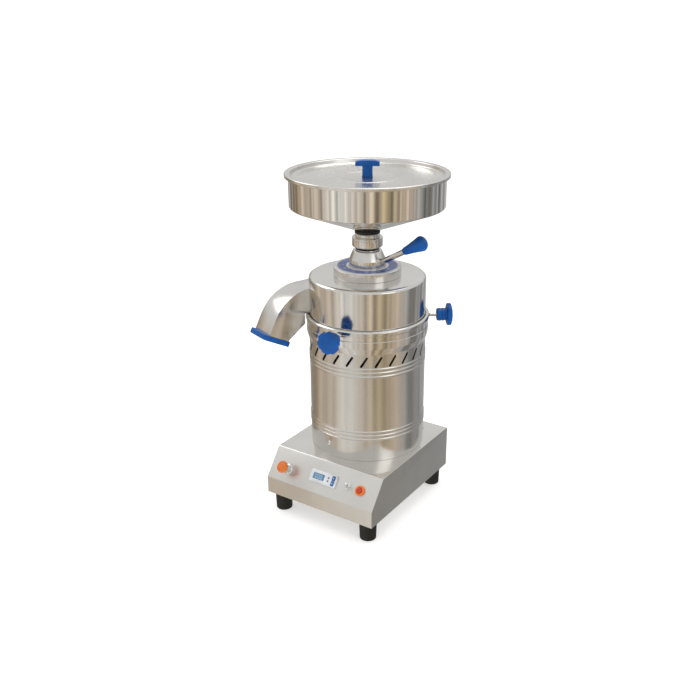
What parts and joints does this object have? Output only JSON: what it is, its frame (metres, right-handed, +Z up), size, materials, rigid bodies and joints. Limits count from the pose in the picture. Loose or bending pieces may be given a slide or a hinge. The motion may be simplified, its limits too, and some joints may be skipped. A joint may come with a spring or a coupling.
{
  "type": "electric stone mill",
  "caption": "Bench-top electric stone mill with a sloped control panel, vented motor drum, lift-off mill head with side chute, grind lever and lidded feed hopper.",
  "frame": {"origin": "on the shaft's vertical axis, in the plane that the four rubber feet stand on", "axes": "+Z up along the shaft, -Y towards the sloped control panel, +X to the right seen from the panel"},
  "size_m": [0.359, 0.3739, 0.7541],
  "materials": {
    "housing_steel": "satin",
    "drum_steel": "polished",
    "casing_steel": "polished",
    "hopper_steel": "satin",
    "machined_steel": "machined",
    "cast_aluminium": "cast",
    "blue_plastic": "glossy",
    "white_plastic": "matte",
    "display_blue": "glossy",
    "key_blue": "matte",
    "orange_plastic": "glossy",
    "red_plastic": "glossy",
    "chrome": "polished",
    "black_rubber": "matte",
    "black_plastic": "matte",
    "scale_enamel": "printed",
    "millstone": "dressed",
    "motor_iron": "painted",
    "copper": "lacquered"
  },
  "bodies": {
    "base": {"base_housing": "housing_steel", "bottom_plate": "housing_steel", "rubber_feet": "black_rubber", "foot_bolts_and_nuts": "machined_steel", "display_housing": "white_plastic", "display_window": "display_blue", "stop_button_collar": "chrome", "start_button_bezel": "orange_plastic", "switch_bodies": "black_plastic", "toggle_bushing": "chrome", "speed_controller": "black_plastic", "cable_gland": "black_plastic", "motor_drum": "drum_steel", "drum_screws": "chrome", "mill_bed": "cast_aluminium", "clamp_collar": "casing_steel", "motor_frame": "motor_iron", "stator_core": "motor_iron", "stator_windings": "copper", "lower_end_bell": "motor_iron", "motor_lantern": "cast_aluminium", "motor_bolts": "machined_steel", "bearing_outer_rings": "machined_steel", "shaft_seal": "black_rubber", "casing_seal": "black_rubber"},
    "rotor": {"motor_shaft": "machined_steel", "rotor_core": "motor_iron", "cooling_fan": "black_plastic", "bearing_inner_rings_and_balls": "machined_steel", "rotor_plate": "machined_steel", "running_stone": "millstone", "stone_nut": "machined_steel"},
    "head": {"mill_casing": "casing_steel", "outlet_chute": "casing_steel", "chute_edging": "blue_plastic", "boss_ring": "machined_steel", "grind_scale": "scale_enamel"},
    "adjuster": {"grind_adjuster": "machined_steel", "adjuster_lever": "machined_steel", "lever_grip": "blue_plastic"},
    "carrier": {"stone_carrier": "machined_steel", "upper_stone": "millstone", "feed_seal": "black_rubber"},
    "hopper": {"hopper_bowl": "hopper_steel", "hopper_neck": "machined_steel", "neck_collar": "machined_steel"},
    "lid": {"hopper_lid": "hopper_steel", "lid_handle": "blue_plastic", "lid_handle_screw": "machined_steel"},
    "stop_button": {"stop_button_head": "orange_plastic"},
    "start_button": {"start_button_cap": "red_plastic"},
    "key_up": {"display_key_up": "key_blue"},
    "key_down": {"display_key_down": "key_blue"},
    "toggle": {"toggle_lever": "chrome"},
    "screw_1": {"clamp_screw_1": "machined_steel"},
    "knob_1": {"clamp_knob_1": "blue_plastic"},
    "screw_2": {"clamp_screw_2": "machined_steel"},
    "knob_2": {"clamp_knob_2": "blue_plastic"},
    "screw_3": {"clamp_screw_3": "machined_steel"},
    "knob_3": {"clamp_knob_3": "blue_plastic"}
  },
  "joints": [
    {"name": "rotor_spin", "type": "hinge", "parent": "base", "child": "rotor", "pos_m": [0, 0, 0.3], "axis": [0, 0, 1], "continuous": true},
    {"name": "head_lift", "type": "slide", "parent": "base", "child": "head", "axis": [0, 0, 1], "range_m": [0, 0.15]},
    {"name": "grind_adjust", "type": "hinge", "parent": "head", "child": "adjuster", "pos_m": [0, 0, 0.535], "axis": [0, 0, 1], "range_deg": [-25, 120]},
    {"name": "stone_gap", "type": "slide", "parent": "head", "child": "carrier", "axis": [0, 0, 1], "range_m": [-0.0005, 0.0021]},
    {"name": "hopper_lift", "type": "slide", "parent": "carrier", "child": "hopper", "axis": [0, 0, 1], "range_m": [0, 0.1]},
    {"name": "lid_lift", "type": "slide", "parent": "hopper", "child": "lid", "axis": [0, 0, 1], "range_m": [0, 0.12]},
    {"name": "stop_push", "type": "slide", "parent": "base", "child": "stop_button", "axis": [0, 0.7875, -0.6163], "range_m": [0, 0.004], "stiffness_N_per_m": 400},
    {"name": "start_push", "type": "slide", "parent": "base", "child": "start_button", "axis": [0, 0.7875, -0.6163], "range_m": [0, 0.0015], "stiffness_N_per_m": 600},
    {"name": "key_up_push", "type": "slide", "parent": "base", "child": "key_up", "axis": [0, 0.7875, -0.6163], "range_m": [0, 0.0008], "stiffness_N_per_m": 800},
    {"name": "key_down_push", "type": "slide", "parent": "base", "child": "key_down", "axis": [0, 0.7875, -0.6163], "range_m": [0, 0.0008], "stiffness_N_per_m": 800},
    {"name": "toggle_flip", "type": "hinge", "parent": "base", "child": "toggle", "pos_m": [0.062, -0.17417, 0.1107], "axis": [0, 0.6163, 0.7875], "range_deg": [-28, 0]},
    {"name": "screw_travel_1", "type": "slide", "parent": "base", "child": "screw_1", "axis": [0.1219, -0.9925, 0], "range_m": [0, 0.0038]},
    {"name": "knob_turn_1", "type": "hinge", "parent": "screw_1", "child": "knob_1", "pos_m": [0.0195, -0.15881, 0.4225], "axis": [0.1219, -0.9925, 0], "range_deg": [0, 1080]},
    {"name": "screw_travel_2", "type": "slide", "parent": "base", "child": "screw_2", "axis": [0.7986, 0.6018, 0], "range_m": [0, 0.0038]},
    {"name": "knob_turn_2", "type": "hinge", "parent": "screw_2", "child": "knob_2", "pos_m": [0.12778, 0.09629, 0.4225], "axis": [0.7986, 0.6018, 0], "range_deg": [0, 1080]},
    {"name": "screw_travel_3", "type": "slide", "parent": "base", "child": "screw_3", "axis": [-0.9205, 0.3907, 0], "range_m": [0, 0.0038]},
    {"name": "knob_turn_3", "type": "hinge", "parent": "screw_3", "child": "knob_3", "pos_m": [-0.14728, 0.06252, 0.4225], "axis": [-0.9205, 0.3907, 0], "range_deg": [0, 1080]}
  ],
  "couplings": [
    {"joint": "stone_gap", "follows": "grind_adjust", "m_per_rad": 0.00095493},
    {"joint": "screw_travel_1", "follows": "knob_turn_1", "m_per_rad": 0.00019894},
    {"joint": "screw_travel_2", "follows": "knob_turn_2", "m_per_rad": 0.00019894},
    {"joint": "screw_travel_3", "follows": "knob_turn_3", "m_per_rad": 0.00019894}
  ]
}
